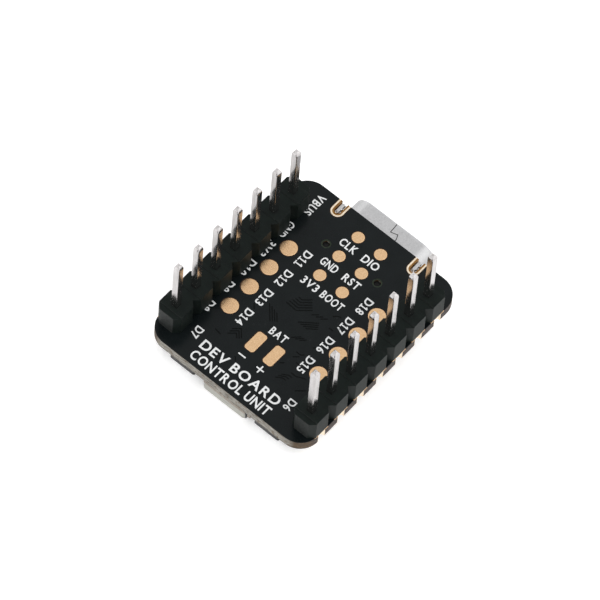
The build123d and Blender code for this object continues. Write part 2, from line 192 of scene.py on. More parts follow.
def stroke(path, width):
    """The outline of a line of that width along a path, with round ends."""
    spots = [Vector(p) for p in path]
    sides, joints = line_sides(path, width)
    left = [tuple(p + j) for p, j in zip(spots, joints)]
    right = [tuple(p - j) for p, j in zip(spots, joints)]
    outline = []
    for side, spot, edge in ((-sides[-1], spots[-1], right), (sides[0], spots[0], left)):
        turn = degrees(atan2(side.y, side.x))
        outline += edge[1:-1] if edge is right else edge[1:-1][::-1]
        outline += arc(spot.x, spot.y, width / 2, turn, turn + 180, 6)
    return outline


def edge_x(y):
    """The board's half width at y, less in its round corners."""
    past = max(abs(y) - (HALF_Y - CORNER_R), 0)
    return HALF_X - CORNER_R + sqrt(CORNER_R**2 - past**2)


def board_outline(side_cut, slot_cut):
    """The board's outline, with a cut at each pin on both long sides and at each USB slot.

    side_cut runs up the +X side and is given from (edge, pin); slot_cut runs towards -X and
    is given from (slot, edge).
    """
    side = []
    for y in PIN_YS:
        side += [(HALF_X + dx if dx else edge_x(y + dy), y + dy) for dx, dy in side_cut]
    corner_y = HALF_Y - CORNER_R
    last_turn = degrees(asin(min((side[0][1] + corner_y) / CORNER_R, 0)))
    points = side + arc(HALF_X - CORNER_R, corner_y, CORNER_R, 0, 90)
    for x in (SLOT_X, -SLOT_X):
        points += [(x + dx, HALF_Y + dy) for dx, dy in slot_cut]
    points += arc(CORNER_R - HALF_X, corner_y, CORNER_R, 90, 180)
    points += [(-x, y) for x, y in reversed(side)]
    points += arc(CORNER_R - HALF_X, -corner_y, CORNER_R, 180 - last_turn, 270)[last_turn < 0 :]
    points += arc(HALF_X - CORNER_R, -corner_y, CORNER_R, 270, 360 + last_turn)
    return points[: len(points) - (last_turn < 0)]


def edge_hole_cut(radius):
    return arc(0, 0, radius, 270, 90, 16)


def pin_pad_cut(radius):
    return [(0, -radius)] + arc(PIN_X - HALF_X, 0, radius, 270, 90, 24) + [(0, radius)]


def slot_cut(radius):
    return [(radius, 0)] + arc(0, -SLOT_DEPTH, radius, 0, -180, 20) + [(-radius, 0)]


# ---- meshes ----
def ring(bm, loop, z):
    return [bm.verts.new((x, y, z)) for x, y in loop]


def ring_edges(bm, verts):
    pairs = zip(verts, verts[1:] + verts[:1])
    return [bm.edges.get(pair) or bm.edges.new(pair) for pair in pairs]


def skin(bm, rings):
    """Quads between neighbouring rings of vertices."""
    for low, high in zip(rings, rings[1:]):
        for a, b, c, d in zip(low, low[1:] + low[:1], high[1:] + high[:1], high):
            bm.faces.new((a, b, c, d))


def cap(bm, loops, crisp=True):
    """A flat face inside the first ring of vertices and outside the others."""
    edges = [edge for loop in loops for edge in ring_edges(bm, loop)]
    if len(loops) == 1:
        bm.faces.new(loops[0])
    else:
        bmesh.ops.triangle_fill(bm, use_beauty=True, use_dissolve=False, edges=edges)
    for edge in edges:
        edge.smooth = not crisp


def plate(bm, loops, z0, z1, edge=0.0, pits=()):
    """A flat plate from z0 to z1. The first loop is its outline and the rest are holes.

    edge rounds the rim of the z1 face. A pit is a (loop, depth) sunk into that face.
    """
    up = 1 if z1 > z0 else -1
    turns = [radians(30 * i) for i in range(4)] if edge else [pi / 2]
    profile = [(0, z0)] + [(edge * (1 - cos(t)), z1 - up * edge * (1 - sin(t))) for t in turns]
    first, last = [], []
    for i, loop in enumerate(loops):
        solid_left = area(loop) > 0 if i == 0 else area(loop) < 0
        loop = loop if solid_left else loop[::-1]
        rings = [ring(bm, inset(loop, shift), z) for shift, z in profile]
        skin(bm, rings)
        first.append(rings[0])
        last.append(rings[-1])
    for loop, depth in pits:
        rings = [ring(bm, loop, z1), ring(bm, loop, z1 - up * depth)]
        skin(bm, rings)
        last.append(rings[0])
        cap(bm, rings[1:])
    cap(bm, first)
    cap(bm, last)


def lathe(bm, profile, x, y, steps=48):
    """A solid of revolution about a line along Z, from (radius, z) points."""
    rings = []
    for radius, z in profile:
        if radius == 0:
            rings.append([bm.verts.new((x, y, z))] * steps)
        else:
            rings.append(ring(bm, circle(x, y, radius, steps), z))
    for low, high in zip(rings, rings[1:] + rings[:1]):
        for i in range(steps):
            corners = [low[i - 1], low[i], high[i], high[i - 1]]
            distinct = list(dict.fromkeys(corners))
            if len(distinct) > 2:
                bm.faces.new(distinct)


def block(bm, low, high, radius, edge=0.0):
    """A box with round upright corners and a round rim on its lower face."""
    plate(bm, [around(low, high, radius, 4)], high.z, low.z, edge)


def soften(bm, width):
    """Merges the faces that lie in one plane and rounds every edge between the others."""
    bmesh.ops.dissolve_limit(bm, angle_limit=radians(FLAT_ANGLE), verts=bm.verts, edges=bm.edges)
    sharp = [e for e in bm.edges if e.is_manifold and e.calc_face_angle(0) > radians(ROUND_ANGLE)]
    bmesh.ops.bevel(bm, geom=sharp, offset=width, segments=2, profile=0.5, affect="EDGES",
                    clamp_overlap=True)


def scene_object(name, data):
    obj = bpy.data.objects.new(name, data)
    bpy.context.scene.collection.objects.link(obj)
    return obj


def mesh_object(name, bm, material):
    """An object in the scene from a mesh in millimetres."""
    mesh = bpy.data.meshes.new(name)
    bm.to_mesh(mesh)
    bm.free()
    mesh.transform(Matrix.Scale(MM, 4))
    mesh.materials.append(material)
    return scene_object(name, mesh)


def piece(name, bm, finish, replaces=(), body=ROOT, weighted=False):
    """A finished object, riding on a body."""
    bmesh.ops.recalc_face_normals(bm, faces=bm.faces)
    for edge in bm.edges:
        if edge.calc_face_angle(0) > radians(CREASE_ANGLE):
            edge.smooth = False
    for face in bm.faces:
        face.smooth = True
    obj = mesh_object(name, bm, finish.material)
    if weighted:
        obj.modifiers.new("shading", "WEIGHTED_NORMAL").keep_sharp = True
    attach(obj, body)
    if replaces:
        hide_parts(*replaces)
    return obj


def finished(node, bm, finish, body=ROOT, weighted=False):
    """The piece that stands for one CAD node."""
    return piece(f"{node}_finished", bm, finish, [node], body, weighted)


def softened(node, finish, width):
    """A piece with the CAD node's own shape and rounded edges."""
    bm = bmesh.new()
    bm.from_mesh(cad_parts[node].data)
    bmesh.ops.scale(bm, vec=(1 / MM,) * 3, verts=bm.verts)
    bmesh.ops.remove_doubles(bm, verts=bm.verts, dist=MERGE)
    soften(bm, width)
    for edge in bm.edges:
        edge.smooth = True
    finished(node, bm, finish, weighted=True)


def package(node, finish, radius, steps, edge, pit, depth):
    """A moulded body with round edges, and a pit in its lower face."""
    low, high = box(node)
    bm = bmesh.new()
    plate(bm, [around(low, high, radius, steps)], high.z, low.z, edge, [(pit, depth)])
    finished(node, bm, finish)


# ---- materials ----
BOARD_SLOT = "black_solder_mask"


def srgb(red, green, blue):
    """A linear colour from 0 to 255 display values."""
    values = [c / 255 for c in (red, green, blue)]
    linear = [c / 12.92 if c < 0.04045 else ((c + 0.055) / 1.055) ** 2.4 for c in values]
    return (*linear, 1.0)


def add(tree, kind, **inputs):
    """A new node. Each input is a value, or the output of another node that feeds it."""
    node = tree.nodes.new(kind)
    for name, value in inputs.items():
        socket = node.inputs[name.replace("_", " ")]
        if isinstance(value, bpy.types.NodeSocket):
            tree.links.new(value, socket)
        else:
            socket.default_value = value
    return node


def map_range(tree, source, from_low, from_high, low, high):
    """A node that moves a value from one range to another."""
    values = {"From_Min": from_low, "From_Max": from_high, "To_Min": low, "To_Max": high}
    return add(tree, "ShaderNodeMapRange", Value=source, **values)


class Finish:
    """A procedural material, with textures in millimetres on the object, and a slot name."""

    def __init__(self, name, metal=0.0, specular=0.5, slot=None):
        self.slot = slot or name
        self.material = bpy.data.materials.new(name)
        self.material.use_nodes = True
        self.tree = self.material.node_tree
        self.link = self.tree.links.new
        self.shader = self.tree.nodes["Principled BSDF"]
        self.shader.inputs["Metallic"].default_value = metal
        self.shader.inputs["Specular IOR Level"].default_value = specular
        self.place = add(self.tree, "ShaderNodeTexCoord").outputs["Object"]

    def noise(self, size, stretch=(1, 1, 1), detail=3):
        """Noise with spots of that size in millimetres, drawn out along each axis."""
        scale = [1 / (MM * size * s) for s in stretch]
        mapping = add(self.tree, "ShaderNodeMapping", Vector=self.place, Scale=scale)
        noise = add(self.tree, "ShaderNodeTexNoise", Vector=mapping.outputs[0], Scale=1, Detail=detail)
        return self.spread(noise.outputs["Fac"], 0, 1, 0.3, 0.7)

    def spread(self, source, low, high, from_low=0.0, from_high=1.0):
        """A value from from_low to from_high, moved to low to high."""
        return map_range(self.tree, source, from_low, from_high, low, high).outputs["Result"]

    def mix(self, factor, first, second):
        """A colour between first and second, each of 0 to 255 display values or a node's output."""
        mix = add(self.tree, "ShaderNodeMix", Factor=factor)
        mix.data_type = "RGBA"
        for socket, value in ((mix.inputs["A"], first), (mix.inputs["B"], second)):
            if isinstance(value, tuple):
                socket.default_value = srgb(*value)
            else:
                self.link(value, socket)
        return mix.outputs["Result"]

    def colour(self, source):
        self.link(source, self.shader.inputs["Base Color"])

    def roughness(self, source, low, high):
        self.link(self.spread(source, low, high), self.shader.inputs["Roughness"])

    def bump(self, source, depth):
        """Relief that deep in millimetres."""
        bump = add(self.tree, "ShaderNodeBump", Height=source, Distance=depth * MM, Strength=0.5)
        self.link(bump.outputs["Normal"], self.shader.inputs["Normal"])

    def facing(self, axis, low, high):
        """0 where the surface faces away from the axis X, Y or Z, and 1 where it faces along it."""
        normal = add(self.tree, "ShaderNodeNewGeometry").outputs["Normal"]
        parts = add(self.tree, "ShaderNodeSeparateXYZ", Vector=normal)
        size = add(self.tree, "ShaderNodeMath", Value=parts.outputs[axis])
        size.operation = "ABSOLUTE"
        return self.spread(size.outputs["Value"], 0, 1, low, high)

    def see_through_from_behind(self):
        """Leaves the surface out for rays that meet its back."""
        behind = add(self.tree, "ShaderNodeNewGeometry").outputs["Backfacing"]
        clear = add(self.tree, "ShaderNodeBsdfTransparent")
        choice = add(self.tree, "ShaderNodeMixShader", Fac=behind)
        self.link(self.shader.outputs["BSDF"], choice.inputs[1])
        self.link(clear.outputs["BSDF"], choice.inputs[2])
        self.link(choice.outputs["Shader"], self.tree.nodes["Material Output"].inputs["Surface"])


def plain_finish(name, dark, light, rough, metal=0.0, size=0.3, stretch=(1, 1, 1), grain=0.05,
                 depth=0.002, specular=0.5, slot=None):
    """A material whose colour and gloss vary in spots of size, with a fine grain in relief."""
    finish = Finish(name, metal, specular, slot)
    spots = finish.noise(size, stretch)
    finish.colour(finish.mix(spots, dark, light))
    finish.roughness(spots, *rough)
    finish.bump(finish.noise(grain, stretch), depth)
    return finish


def laminate_finish():
    """Glass cloth in resin: pale layers on the routed edges facing ±Y, painted shade darkening the edges
    facing ±X, brown resin on the face.
    """
    finish = Finish("fibreglass_laminate", specular=0.3, slot=BOARD_SLOT)
    layers = finish.noise(0.16, (6, 6, 1), 5)
    cloth = finish.mix(layers, (76, 71, 64), (160, 157, 149))
    specks = finish.spread(finish.noise(0.14, (2, 2, 1)), 0, 1, 0.6, 0.9)
    pale = finish.mix(specks, cloth, (92, 76, 58))
    brown = finish.mix(layers, (46, 34, 23), (86, 67, 45))
    # Painted shade: the routed edges facing ±X are darkened, grading to brown round the corners.
    painted_side_shade = finish.mix(layers, (30, 25, 24), (70, 58, 52))
    corner = finish.mix(finish.facing("Y", 0.10, 0.45), painted_side_shade, brown)
    edge = finish.mix(finish.facing("Y", 0.90, 0.995), corner, pale)
    fibres = finish.noise(0.10)
    face = finish.mix(fibres, (48, 28, 16), (80, 52, 30))
    finish.colour(finish.mix(finish.facing("Z", 0.5, 0.8), edge, face))
    finish.roughness(fibres, 0.45, 0.75)
    finish.bump(layers, 0.02)
    return finish


def header_finish():
    """Black nylon, paler on the ends where the strip was snapped off."""
    finish = Finish("header_nylon", specular=0.14, slot="header_plastic")
    spots = finish.noise(0.6)
    moulded = finish.mix(spots, (9, 16, 14), (14, 22, 19))
    snapped = finish.mix(finish.noise(0.12), (26, 29, 28), (44, 46, 45))
    finish.colour(finish.mix(finish.facing("Y", 0.85, 0.98), moulded, snapped))
    finish.roughness(finish.facing("Z", 0.6, 0.9), 0.55, 0.30)
    finish.bump(finish.noise(0.07), 0.004)
    return finish


def steel_finish():
    """Drawn stainless sheet, with painted shade making its bends darker than its flats."""
    finish = Finish("port_shell_steel", metal=1.0)
    grain = finish.noise(0.10)
    # Painted shade: the bends are coloured darker than the flats.
    bend = finish.mix(grain, (156, 156, 157), (170, 170, 171))
    flat = finish.mix(grain, (188, 188, 189), (206, 206, 207))
    finish.colour(finish.mix(finish.facing("Z", 0.70, 0.96), bend, flat))
    finish.roughness(grain, 0.31, 0.41)
    finish.bump(finish.noise(0.03), 0.001)
    return finish


def resistor_finish():
    """White alumina sides under a black glaze."""
    finish = Finish("resistor_body", slot="resistor_film")
    grain = finish.noise(0.08)
    sides = finish.mix(grain, (196, 194, 188), (226, 224, 218))
    top = finish.mix(grain, (14, 14, 15), (28, 28, 30))
    finish.colour(finish.mix(finish.facing("Z", 0.6, 0.7), sides, top))
    finish.roughness(grain, 0.25, 0.45)
    finish.bump(grain, 0.002)
    return finish


def resin_finish():
    """Clear resin with a milky bloom."""
    finish = Finish("led_resin")
    bloom = finish.noise(0.25)
    finish.colour(finish.mix(bloom, (226, 222, 205), (244, 242, 232)))
    finish.roughness(bloom, 0.05, 0.15)
    finish.bump(finish.noise(0.08), 0.001)
    finish.shader.inputs["Transmission Weight"].default_value = 0.55
    finish.shader.inputs["IOR"].default_value = 1.5
    return finish


MASK = plain_finish("solder_mask", (11, 16, 17), (15, 20, 21), (0.20, 0.26), size=1.4, grain=0.5,
                    specular=0.18, slot=BOARD_SLOT)
# Mask over bare resin, its colour painted darker as the shade in the gaps in the copper.
MASK_FLOOR = plain_finish("solder_mask_over_resin_and_gap_shade", (3, 5, 5), (5, 8, 7), (0.28, 0.36), size=0.6,
                          specular=0.10, slot=BOARD_SLOT)
BARE_RIM = plain_finish("bare_rim", (22, 32, 22), (38, 48, 34), (0.4, 0.55), size=0.2, specular=0.2,
                        slot=BOARD_SLOT)
INK = plain_finish("silkscreen_ink", (206, 208, 208), (232, 233, 233), (0.45, 0.65), size=0.12,
                   slot=BOARD_SLOT)
LAMINATE = laminate_finish()
GOLD = plain_finish("immersion_gold", (238, 196, 150), (250, 211, 166), (0.17, 0.24), 1.0, size=0.16,
                    grain=0.04)
EDGE_GOLD = plain_finish("thin_gold", (240, 222, 196), (250, 236, 214), (0.30, 0.42), 1.0, size=0.12,
                         depth=0.004, slot="immersion_gold")
# Painted shade: gold darkened to brown for the linings deep in the slots.
SHADED_SLOT_GOLD = plain_finish("slot_lining_gold_painted_shade", (112, 78, 40), (168, 126, 74), (0.30, 0.45), 1.0, size=0.10,
                         depth=0.006, slot="immersion_gold")
CONTACT_GOLD = plain_finish("contact_gold", (226, 178, 92), (246, 206, 124), (0.18, 0.30), 1.0,
                            stretch=(1, 5, 1))
HEADER_BLACK = header_finish()
TIN = plain_finish("plated_pin", (172, 169, 168), (197, 194, 194), (0.12, 0.20), 1.0, size=0.25,
                   stretch=(1, 1, 8), grain=0.06, depth=0.001)
SOLDER = plain_finish("solder", (196, 198, 200), (232, 233, 235), (0.12, 0.28), 1.0, grain=0.16, depth=0.03)
STEEL = steel_finish()
PORT_BLACK = plain_finish("port_insulator", (9, 9, 10), (17, 17, 18), (0.45, 0.6), size=0.5, specular=0.15)
CAN = plain_finish("crystal_can", (158, 157, 150), (182, 181, 174), (0.26, 0.38), 1.0, size=0.5,
                   grain=0.04, depth=0.001)
CAN_BASE = plain_finish("crystal_base", (120, 108, 98), (166, 156, 144), (0.3, 0.45), 1.0, size=0.2,
                        slot="crystal_base_metal")
BUTTON_BLACK = plain_finish("button_plastic", (12, 12, 14), (22, 22, 24), (0.35, 0.5), specular=0.3)
BUTTON_STEEL = plain_finish("button_steel", (182, 182, 182), (208, 208, 208), (0.24, 0.4), 1.0,
                            stretch=(6, 1, 1))
PLUNGER = plain_finish("plunger_plastic", (26, 26, 28), (42, 42, 44), (0.3, 0.45), size=0.25)
MOULD = plain_finish("mould_compound", (26, 26, 27), (38, 38, 39), (0.5, 0.68), size=0.25, grain=0.03,
                     depth=0.005)
LEAD = plain_finish("tinned_lead", (188, 188, 188), (214, 214, 213), (0.2, 0.36), 1.0, size=0.2)
FERRITE = plain_finish("ferrite", (58, 58, 60), (84, 84, 86), (0.55, 0.75), size=0.12, depth=0.006)
CERAMIC = plain_finish("capacitor_ceramic", (150, 122, 92), (176, 148, 114), (0.35, 0.55), size=0.12)
RESISTOR = resistor_finish()
LED_WHITE = plain_finish("led_housing", (226, 225, 220), (242, 241, 236), (0.35, 0.5), slot="led_white")
RESIN = resin_finish()


# ---- board ----
def round_pad(low_high, grow=0.0):
    centre = middle(low_high)
    return circle(centre.x, centre.y, (low_high[1].x - low_high[0].x) / 2 + grow)


def battery_pad(low_high, grow=0.0):
    return around(*low_high, BATTERY_CORNER_R + grow, grow=grow)


def header_side_openings(gap):
    """The outlines of the round and battery pads, grown by gap."""
    loops = [round_pad(pad, gap) for pad in GPIO_PADS + TEST_PADS]
    return loops + [battery_pad(pad, gap) for pad in BATTERY_PADS]


def peg_circles(radius):
    return [circle(x, PEG_Y, radius) for x in (-PEG_X, PEG_X)]


def laminate():
    bm = bmesh.new()
    drills = [circle(spot.x, spot.y, DRILL_R) for spot in PINS.values()]
    outline = board_outline(edge_hole_cut(EDGE_HOLE_R), slot_cut(SLOT_R))
    plate(bm, [outline] + drills + peg_circles(PEG_HOLE_R), FACE_Z, 0, BOARD_RIM)
    piece("board_laminate", bm, LAMINATE, ["circuit_board"])


def path(x, y, *moves):
    """The points of a route from (x, y): each move is a heading in degrees and a length."""
    points = [(x, y)]
    for heading, length in moves:
        x += length * cos(radians(heading))
        y += length * sin(radians(heading))
        points.append((x, y))
    return points


def header_side_gaps():
    """The gaps in the header side's copper that show through the mask, as paths."""
    gaps = []
    for i in range(5):
        gaps.append(path(-1.62 + 0.12 * i, -0.42 + 0.27 * i, (-3, 1.15 - 0.2 * i), (42, 1.35 - 0.12 * i)))
    for i in range(4):
        gaps.append(path(0.40 + 0.30 * i, -1.22 - 0.02 * i, (38, 1.75 - 0.25 * i)))
        gaps.append(path(-2.62 + 0.36 * i, -1.5 - 0.1 * i, (-48, 1.7 - 0.3 * i)))
    for i in range(3):
        gaps.append(path(0.80 + 0.42 * i, 0.10 + 0.1 * i, (42, 0.55)))
        gaps.append(path(0.95 + 0.36 * i, -2.75 + 0.12 * i, (45, 0.8 - 0.12 * i)))
        gaps.append(path(-3.35, -6.10 + 0.3 * i, (42, 0.75), (-48, 0.5 + 0.2 * i)))
        gaps.append(path(2.5 + 0.1 * i, -6.6 + 0.28 * i, (33, 0.6), (0, 0.3)))
    alone = (
        (3.2, -5.4, (0, 0.5), (24, 0.9)), (4.6, -6.5, (42, 0.9)), (1.85, -5.3, (42, 0.35)),
        (2.25, 1.2, (42, 0.5), (0, 0.2)), (-4.4, -6.5, (-8, 0.6)), (-1.38, -7.4, (-48, 0.4)),
        (2.2, -3.55, (0, 0.45), (42, 0.3)), (2.3, -4.1, (42, 0.5)), (2.9, -4.35, (0, 0.5)),
        (3.0, -2.3, (42, 0.4), (0, 0.35)), (3.3, -0.75, (42, 0.45)), (2.75, 0.1, (0, 0.4)),
        (-3.6, -2.4, (-48, 0.5)),
    )
    return gaps + [path(*gap) for gap in alone]


def header_side_vias():
    """The covered holes that show as dimples on the header side."""
    vias = [(0.55, -0.85), (-0.7, 1.7), (2.3, -1.9), (3.4, -3.2), (-3.1, 1.0), (-3.9, -5.5), (2.2, -4.6)]
    vias += [(2.6 + 0.42 * i, 1.3 - 0.38 * i) for i in range(3)]
    return vias + [(-2.3 + 0.38 * i, -4.0 + 0.34 * i) for i in range(3)]


def component_side_vias():
    return [(side * (3.9 + 0.3 * (i % 2)), 3.4 - 0.8 * i) for side in (-1, 1) for i in range(9)]


def mask(name, gaps, vias, openings, face_z, up):
    """Solder mask over copper, with dark gaps where the copper ends, on a thin floor of mask. The floor is
    mask over resin, painted darker as the shade in those gaps.
    """
    outline = board_outline(pin_pad_cut(PIN_PAD_R + MASK_GAP), slot_cut(SLOT_PAD_R + MASK_GAP))
    shared = [outline] + peg_circles(PEG_CLEARANCE_R) + openings
    bm = bmesh.new()
    strokes = [stroke(gap, GAP_W) for gap in gaps]
    plate(bm, shared + strokes, face_z, face_z + up * MASK_T, FILM_RIM)
    for x, y in vias:
        via(bm, x, y, face_z, up)
    piece(f"solder_mask_{name}", bm, MASK)
    bm = bmesh.new()
    plate(bm, shared, face_z, face_z + up * MASK_FLOOR_T)
    piece(f"solder_mask_floor_{name}", bm, MASK_FLOOR)
    bm = bmesh.new()
    for x in (-PEG_X, PEG_X):
        rims = [circle(x, PEG_Y, PEG_CLEARANCE_R), circle(x, PEG_Y, PEG_HOLE_R)]
        plate(bm, rims, face_z, face_z + up * MASK_FLOOR_T)
    piece(f"peg_hole_rims_{name}", bm, BARE_RIM)


def via(bm, x, y, face_z, up):
    """A covered through hole: a low ring round a dimple."""
    profile = [(0, 0.02), (0, 0.041), (0.03, 0.041), (0.05, 0.052), (0.09, 0.054)]
    profile += [(0.13, 0.045), (0.14, 0.02)]
    lathe(bm, [(r, face_z + up * z) for r, z in profile], x, y, 24)


def component_side_gaps():
    """The gaps in the component side's copper, four running out towards each row of pins."""
    starts = [(side, 0.4 - 0.6 * i) for side in (-1, 1) for i in range(4)]
    return [path(side * 3.75, y, (90 - side * 45, 0.35), (90 - side * 90, 1.2)) for side, y in starts]


def masks():
    openings = header_side_openings(MASK_GAP)
    mask("header_side", header_side_gaps(), header_side_vias(), openings, 0, 1)
    mask("component_side", component_side_gaps(), component_side_vias(), [], FACE_Z, -1)


# ---- silkscreen ----
LETTER_H, LETTER_PITCH = 0.80, 0.59
LETTER_GAP, WORD_GAP = 0.17, 0.35
LETTER_BOLD = 0.020
DIGIT_ONE = [(0.0, 0.0), (0.56, 0.0), (0.56, 0.14), (0.36, 0.14), (0.36, 1.0), (0.22, 1.0), (0.0, 0.82),
             (0.07, 0.70), (0.20, 0.79), (0.20, 0.14), (0.0, 0.14)]


def letter(bm, character):
    """Adds a capital or digit one unit high and thick, from x = 0, and returns its width."""
    if character == "1":
        plate(bm, [DIGIT_ONE], 0, 1)
        return max(x for x, _ in DIGIT_ONE)
    curve = bpy.data.curves.new("letter", "FONT")
    curve.body = character
    curve.offset = LETTER_BOLD
    curve.extrude = 0.5
    curve.resolution_u = 6
    source = scene_object("letter", curve)
    graph = bpy.context.evaluated_depsgraph_get()
    mesh = bpy.data.meshes.new_from_object(source.evaluated_get(graph))
    xs = [v.co.x for v in mesh.vertices]
    ys = [v.co.y for v in mesh.vertices]
    scale = 1 / (max(ys) - min(ys))
    to_corner = Matrix.Translation((-min(xs), -min(ys), 0.5))
    mesh.transform(Matrix.Diagonal((scale, scale, 1, 1)) @ to_corner)
    bm.from_mesh(mesh)
    bpy.data.objects.remove(source)
    bpy.data.meshes.remove(mesh)
    return (max(xs) - min(xs)) * scale


def lettering(bm, text, x, y, turn=0.0, height=LETTER_H, width=None):
    """Flat capitals centred on (x, y), turned in degrees and fitted to a height and a width."""
    line = bmesh.new()
    reach = 0.0
    for character in text:
        if character == " ":
            reach += WORD_GAP
            continue
        before = len(line.verts)
        wide = letter(line, character)
        line.verts.ensure_lookup_table()
        bmesh.ops.translate(line, vec=(reach, 0, 0), verts=line.verts[before:])
        reach += wide + LETTER_GAP
    reach -= LETTER_GAP
    width = width or LETTER_PITCH * len(text) - 0.03
    fit = Matrix.Diagonal((width / reach, height, INK_TOP_Z - MASK_FLOOR_T, 1))
    move = Matrix.Translation((x, y, MASK_FLOOR_T)) @ Matrix.Rotation(radians(turn), 4, "Z")
    mesh = bpy.data.meshes.new("line")
    line.to_mesh(mesh)
    line.free()
    mesh.transform(move @ fit @ Matrix.Translation((-reach / 2, -0.5, 0)))
    bm.from_mesh(mesh)
    bpy.data.meshes.remove(mesh)


def quarter_turns(points, count):
    """The points turned that many times by 90 degrees."""
    for _ in range(count):
        points = [(-y, x) for x, y in points]
    return points


def silkscreen():
    bm = bmesh.new()
    beside_x, past_pin = 6.40, 0.37
    pad_x = middle(GPIO_PADS[-1]).x
    pad_ys = [middle(pad).y for pad in GPIO_PADS[:4]]
    for i, y in enumerate(reversed(pad_ys)):
        lettering(bm, f"D{11 + i}", 1.65 - pad_x, y, -90)
        lettering(bm, f"D{18 - i}", pad_x - 1.4, y - 0.04, -90)
    for side, names in ((-1, ("D8", "D9", "D10", "3V3", "GND")), (1, ("D5", "D4", "D3", "D2", "D1"))):
        for text, y in zip(names, PIN_YS[1:]):
            lettering(bm, text, side * beside_x, y + past_pin, -90)
    lettering(bm, "VBUS", -6.15, PIN_YS[-1] + 1.34, -90)
    lettering(bm, "D0", beside_x, PIN_YS[-1] + past_pin, -90)
    lettering(bm, "D7", -5.37, PIN_YS[0] + 0.24, -90)
    lettering(bm, "D6", 5.16, PIN_YS[0] + 0.19, -90)
    for i, (left, right) in enumerate((("3V3", "BOOT"), ("GND", "RST"), ("CLK", "DIO"))):
        y = middle(TEST_PADS[i]).y - 1.24
        lettering(bm, left, -1.30, y)
        lettering(bm, right, 1.19, y)
    battery = middle(BATTERY_PADS[-1])
    lettering(bm, "BAT", 0, battery.y + 1.79)
    sign_y, sign_l, sign_w = battery.y - 1.8, 0.80, 0.13
    plate(bm, [rounded(-battery.x, sign_y, sign_l, sign_w, 0.05, 3)], MASK_FLOOR_T, INK_TOP_Z)
    arm, half_w = sign_l / 2, sign_w / 2
    corner = [(half_w, half_w), (half_w, arm), (-half_w, arm)]
    plus = [turned for k in range(4) for turned in quarter_turns(corner, k)]
    plate(bm, [[(battery.x + dx, sign_y + dy) for dx, dy in plus]], MASK_FLOOR_T, INK_TOP_Z)
    title_h, title_w = 0.96, 8.7
    lettering(bm, "DEV BOARD", 0, -8.3, 0, title_h, title_w)
    lettering(bm, "CONTROL UNIT", 0, -9.6, 0, title_h, title_w)
    bmesh.ops.remove_doubles(bm, verts=bm.verts, dist=MERGE)
    piece("silkscreen_header_side", bm, INK)


# ---- pads and plating ----
def header_side_pads():
    groups = (
        ("gpio_pads", GPIO_PADS, round_pad),
        ("test_pads", TEST_PADS, round_pad),
        ("battery_pads", BATTERY_PADS, battery_pad),
    )
    for name, pads, outline_of in groups:
        bm = bmesh.new()
        for pad in pads:
            plate(bm, [outline_of(pad)], 0, PAD_TOP_Z, PAD_RIM)
        finished(name, bm, GOLD)


def pin_pads():
    """A ring on both faces, a lined hole and a lined half hole at the edge, for each pin."""
    bm, rim_bm = bmesh.new(), bmesh.new()
    bore_r, edge_bore_r = DRILL_R - PLATING_T, EDGE_HOLE_R - PLATING_T
    reach = HALF_X - PIN_X
    for spot in PINS.values():
        side = 1 if spot.x > 0 else -1
        sides_y = [-PIN_PAD_R, -0.75, -0.6, -0.47]
        outline = arc(0, 0, PIN_PAD_R, 90, 270, 32)
        outline += [(edge_x(spot.y + dy) - PIN_X, dy) for dy in sides_y]
        outline += arc(reach, 0, edge_bore_r, 270, 90, 20)
        outline += [(edge_x(spot.y - dy) - PIN_X, -dy) for dy in reversed(sides_y)]
        outline = [(spot.x + side * x, spot.y + y) for x, y in outline]
        bore = circle(spot.x, spot.y, bore_r)
        plate(bm, [outline, bore], 0, COPPER_Z, FILM_RIM)
        plate(bm, [outline, bore], FACE_Z, SOLDER_Z, FILM_RIM)
        plate(bm, [circle(spot.x, spot.y, DRILL_R), bore], FACE_Z, 0)
        lining = arc(reach, 0, EDGE_HOLE_R, 90, 270, 20) + arc(reach, 0, edge_bore_r, 270, 90, 20)
        plate(rim_bm, [[(spot.x + side * x, spot.y + y) for x, y in lining]], FACE_Z, 0)
    finished("pin_pads", bm, GOLD)
    piece("edge_hole_linings", rim_bm, EDGE_GOLD)


def slot_plating():
    """The lined slots of the shell's front legs, with a ring on both faces, and the rear pads."""
    bm, wall_bm = bmesh.new(), bmesh.new()
    lip_r, ring_edge = SLOT_R + 0.12, 0.015
    rings = (
        (bm, SLOT_PAD_R, lip_r, 0, COPPER_Z, ring_edge),
        (bm, SLOT_PAD_R, lip_r, FACE_Z, SOLDER_Z, ring_edge),
        (wall_bm, lip_r, SLOT_R - PLATING_T, 0, COPPER_Z / 3, 0),
        (wall_bm, lip_r, SLOT_R - PLATING_T, FACE_Z, FACE_Z - COPPER_Z / 3, 0),
        (wall_bm, SLOT_R, SLOT_R - PLATING_T, FACE_Z, 0, 0),
    )
    for x in (-SLOT_X, SLOT_X):
        for target, outer, inner, z0, z1, edge in rings:
            outline = slot_cut(outer) + slot_cut(inner)[::-1]
            plate(target, [[(x + dx, HALF_Y + dy) for dx, dy in outline]], z0, z1, edge)
    for low, high in solids("usb_slot_plating"):
        if high.z < FACE_Z + 0.01:
            block(bm, low, high, 0.08)
    finished("usb_slot_plating", bm, EDGE_GOLD)
    # The linings' gold is painted dark brown as shade.
    piece("usb_slot_linings", wall_bm, SHADED_SLOT_GOLD)


# The solder heaped in a slot: each bead's place from the slot's mouth, and its radius.
SLOT_BEADS = ((-0.05, -0.27, 0.15), (0.09, -0.47, 0.16), (-0.09, -0.68, 0.18), (0.10, -0.84, 0.15),
              (-0.02, -1.03, 0.19), (0.08, -1.20, 0.13))


